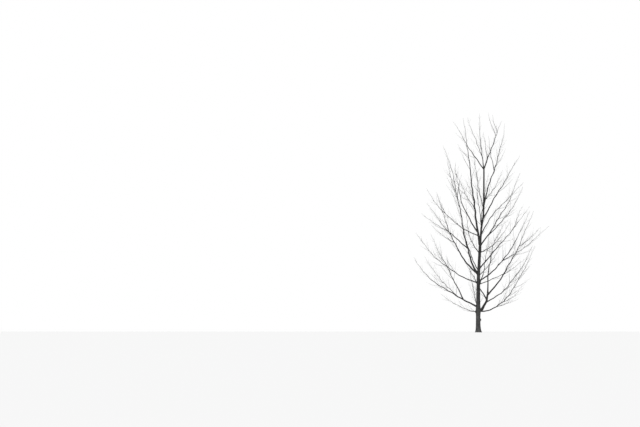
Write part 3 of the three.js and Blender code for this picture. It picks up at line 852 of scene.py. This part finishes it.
def swept(name, tree, shoots, points, sides, material):
    """A piece of the shoots' wood, each bent evenly from where it leaves to where it ends."""
    shares = np.linspace(0, 1, points)
    line = np.stack([shoot_point(shoots, share) for share in shares], 1)
    tip = np.minimum(SHOOT_TIP, shoots["thickness"])[:, None]
    radius = (tip + (shoots["thickness"][:, None] - tip) * (1 - shares)) / 2
    edges = line_edges([points] * len(line))
    return made(name, tree, line.reshape(-1, 3), edges, {"girth": radius.ravel()}, material, sides=sides)


shoots = limb_shoots()
twigs = side_twigs(shoots)
fine_twigs = side_twigs(kept(twigs, twigs["length"] > FINER_FROM))
twig_wood = wood_tree("Wood along lines")
twig_bark = twig_look("twig_bark", TWIG_GREY)
shoot_bark = twig_look("shoot_bark", SHOOT_GREY)
mass_nodes = [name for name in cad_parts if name.startswith("twigs_")]
for piece in (
    swept("long_shoots", twig_wood, shoots, SHOOT_POINTS, SHOOT_SIDES, shoot_bark),
    swept("side_twigs", twig_wood, twigs, TWIG_POINTS, TWIG_SIDES, twig_bark),
    swept("fine_twigs", twig_wood, fine_twigs, TWIG_POINTS, TWIG_SIDES, twig_bark),
):
    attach(piece, "root")
    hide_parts(*mass_nodes)


# The buds
# Winter buds, 5 to 15 mm long and egg-shaped with a blunt point. One sits on the tip of every limb, shoot and
# side twig, and pairs sit on the sides of the long shoots, pressed close to the wood. Their scales are a
# little darker than the bark.
BUD_LENGTH = 0.009
BUD_SLIMNESS = 0.42
BUD_SPREAD = (0.8, 1.2)
BUD_FACETS = 1
BUD_SEAT = 0.4
TWIG_BUD_SHARE = 0.75
STEM_BUD_SHARE = 1.4
SIDE_BUD_SHARES = [0.45, 0.75]
SIDE_BUD_SIZE = 0.85
SIDE_BUD_LEAN = 0.6
BUD_GREY = 0.02


def bud_tree(name):
    """Buds on points: each points the point's way, has its size, and differs a little from the next."""
    tree, given = new_tree(name, {"Slimness": "Float", "Least": "Float", "Most": "Float", "Seed": "Int"})
    egg = wire(tree, "GeometryNodeMeshIcoSphere", {"Radius": 0.5, "Subdivisions": BUD_FACETS})
    slim = wire(tree, "ShaderNodeCombineXYZ", {"X": given["Slimness"], "Y": given["Slimness"], "Z": 1.0})
    shaped = wire(tree, "GeometryNodeTransform", {
        "Geometry": egg, "Scale": slim, "Translation": (0.0, 0.0, BUD_SEAT),
    })
    varied = wire(tree, "FunctionNodeRandomValue", {
        2: given["Least"], 3: given["Most"], "Seed": given["Seed"],
    }, data_type="FLOAT")
    turned = wire(tree, "FunctionNodeAlignRotationToVector", {
        "Vector": attribute(tree, "pointing", "FLOAT_VECTOR"),
    }, axis="Z")
    size = maths(tree, "MULTIPLY", attribute(tree, "size"), varied)
    buds = wire(tree, "GeometryNodeInstanceOnPoints", {
        "Points": given["Geometry"], "Instance": shaped, "Rotation": turned,
        "Scale": wire(tree, "ShaderNodeCombineXYZ", {"X": size, "Y": size, "Z": size}),
    })
    end_tree(tree, buds, given["Material"])
    return tree


stems = [limb for limb in limbs.values() if limb.bare < 1]
bud_points = [shoot_point(shoots, 1), shoot_point(twigs, 1), np.array([limb.point(1) for limb in stems])]
bud_ways = [shoots["ending"], twigs["ending"], np.array([limb.forward(1) for limb in stems])]
bud_sizes = [
    np.full(len(shoots["length"]), BUD_LENGTH),
    np.full(len(twigs["length"]), TWIG_BUD_SHARE * BUD_LENGTH),
    np.full(len(stems), STEM_BUD_SHARE * BUD_LENGTH),
]
for place in SIDE_BUD_SHARES:
    forward = unit((1 - place) * shoots["leaving"] + place * shoots["ending"])
    level = unit(np.cross(forward, [0, 0, 1]))
    radius = shoots["thickness"] * (1 - place) / 2
    for side in (-1, 1):
        bud_points.append(shoot_point(shoots, place) + side * radius[:, None] * level)
        bud_ways.append(unit(forward + side * SIDE_BUD_LEAN * level))
        bud_sizes.append(np.full(len(radius), SIDE_BUD_SIZE * BUD_LENGTH))
buds = made(
    "buds", bud_tree("Buds on points"), np.concatenate(bud_points), np.zeros((0, 2), int), {
        "pointing": np.concatenate(bud_ways),
        "size": np.concatenate(bud_sizes),
    }, twig_look("bud_scales", BUD_GREY), slimness=BUD_SLIMNESS, least=BUD_SPREAD[0], most=BUD_SPREAD[1],
    seed=SEED,
)
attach(buds, "root")
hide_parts(*mass_nodes)


# The studio
# A pale floor under a white sky, as on a bright overcast day, with one broad soft light behind the viewer.
# The camera stands level with the tree's foot, far off, and looks a little up and to the left of it.
PHOTO_WIDTH = 640
PHOTO_HEIGHT = 427
TREE_FOOT_PIXEL = (478.1, 332.5)
METRES_PER_PIXEL = 0.04545
SENSOR = 36
LENS = 200
FAR_END = 6000
EYE_HEIGHT = 0.04
FLOOR_RADIUS = 4000
FLOOR_SIDES = 96
FLOOR_GREY = 0.64
KEY_SOFTNESS = 40
KEY_STRENGTH = 3.4
KEY_ELEVATION = 25
KEY_BEARING = -15

scene = bpy.context.scene
scene.view_settings.view_transform = "Standard"
world = bpy.data.worlds.new("overcast")
world.use_nodes = True
world.node_tree.nodes["Background"].inputs["Color"].default_value = (1, 1, 1, 1)
world.node_tree.nodes["Background"].inputs["Strength"].default_value = 1.0
scene.world = world

bpy.ops.mesh.primitive_circle_add(vertices=FLOOR_SIDES, radius=FLOOR_RADIUS, fill_type="NGON")
floor = bpy.context.object
floor.name = "floor"
floor_look = bpy.data.materials.new("pale_floor")
floor_look.use_nodes = True
floor_shader = floor_look.node_tree.nodes["Principled BSDF"]
floor_shader.inputs["Base Color"].default_value = (FLOOR_GREY, FLOOR_GREY, FLOOR_GREY, 1)
floor_shader.inputs["Roughness"].default_value = 1.0
floor_shader.inputs["Specular IOR Level"].default_value = 0.0
floor.data.materials.append(floor_look)

key = bpy.data.lights.new("soft_light", "SUN")
key.angle = math.radians(KEY_SOFTNESS)
key.energy = KEY_STRENGTH
key_object = bpy.data.objects.new("soft_light", key)
key_object.rotation_euler = (math.radians(90 - KEY_ELEVATION), 0, math.radians(KEY_BEARING))
bpy.context.collection.objects.link(key_object)

distance = LENS / SENSOR * PHOTO_WIDTH * METRES_PER_PIXEL
aim = Vector((
    (PHOTO_WIDTH / 2 - TREE_FOOT_PIXEL[0]) * METRES_PER_PIXEL,
    0,
    (TREE_FOOT_PIXEL[1] - PHOTO_HEIGHT / 2) * METRES_PER_PIXEL,
))
lens = bpy.data.cameras.new("camera")
lens.lens = LENS
lens.sensor_width = SENSOR
lens.clip_end = FAR_END
camera = bpy.data.objects.new("camera", lens)
camera.location = (0, -distance, EYE_HEIGHT)
camera.rotation_mode = "QUATERNION"
camera.rotation_quaternion = (aim - camera.location).to_track_quat("-Z", "Y")
bpy.context.collection.objects.link(camera)
scene.camera = camera
